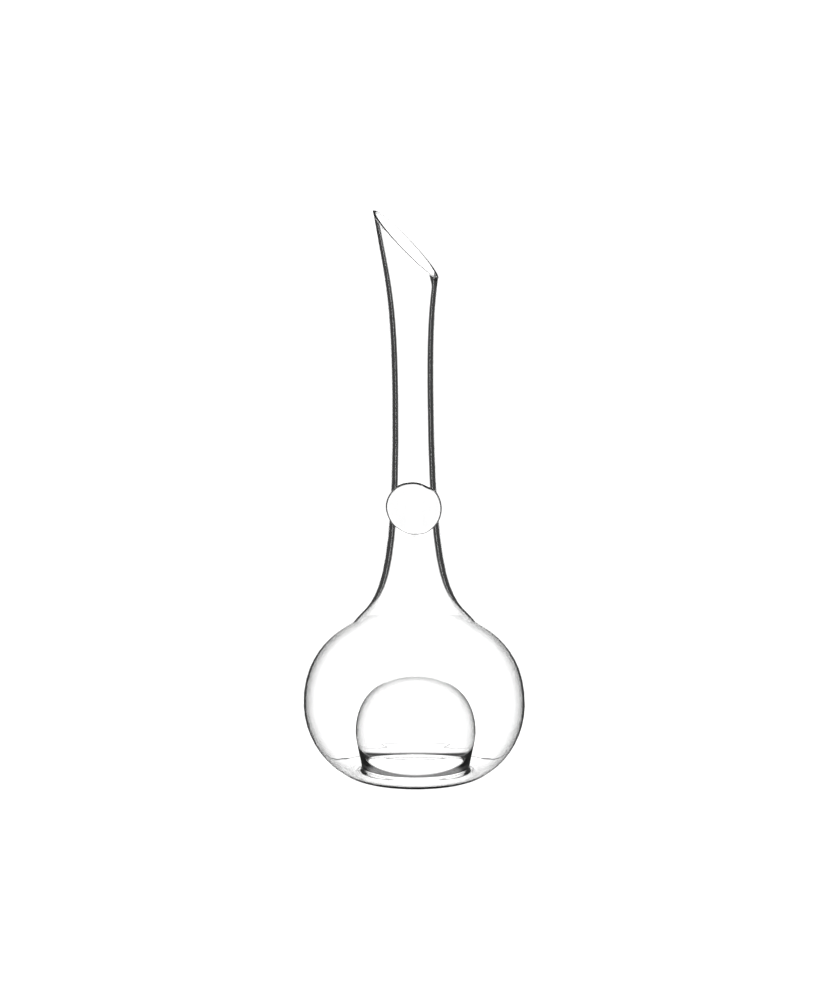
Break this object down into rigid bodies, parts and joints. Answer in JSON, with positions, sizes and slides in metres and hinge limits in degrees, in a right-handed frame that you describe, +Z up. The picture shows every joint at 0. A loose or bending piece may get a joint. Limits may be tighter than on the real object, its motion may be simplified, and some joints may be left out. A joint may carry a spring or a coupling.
{
  "type": "glass wine decanter",
  "caption": "Mouth-blown clear glass decanter with an onion bowl, a bubble-shaped punt, a tall slender neck, a slanting flared mouth and a round blank seal on the neck.",
  "frame": {"origin": "centre of the standing ring, on the plane that the decanter stands on", "axes": "+Z up along the bowl's axis, -Y out of the face of the seal, -X towards the tip of the slanting mouth"},
  "size_m": [0.1615, 0.1614, 0.4108],
  "materials": {
    "clear_glass": "fire-polished clear glass, smooth and colourless"
  },
  "bodies": {
    "root": {"carafe": "clear_glass"}
  },
  "joints": []
}
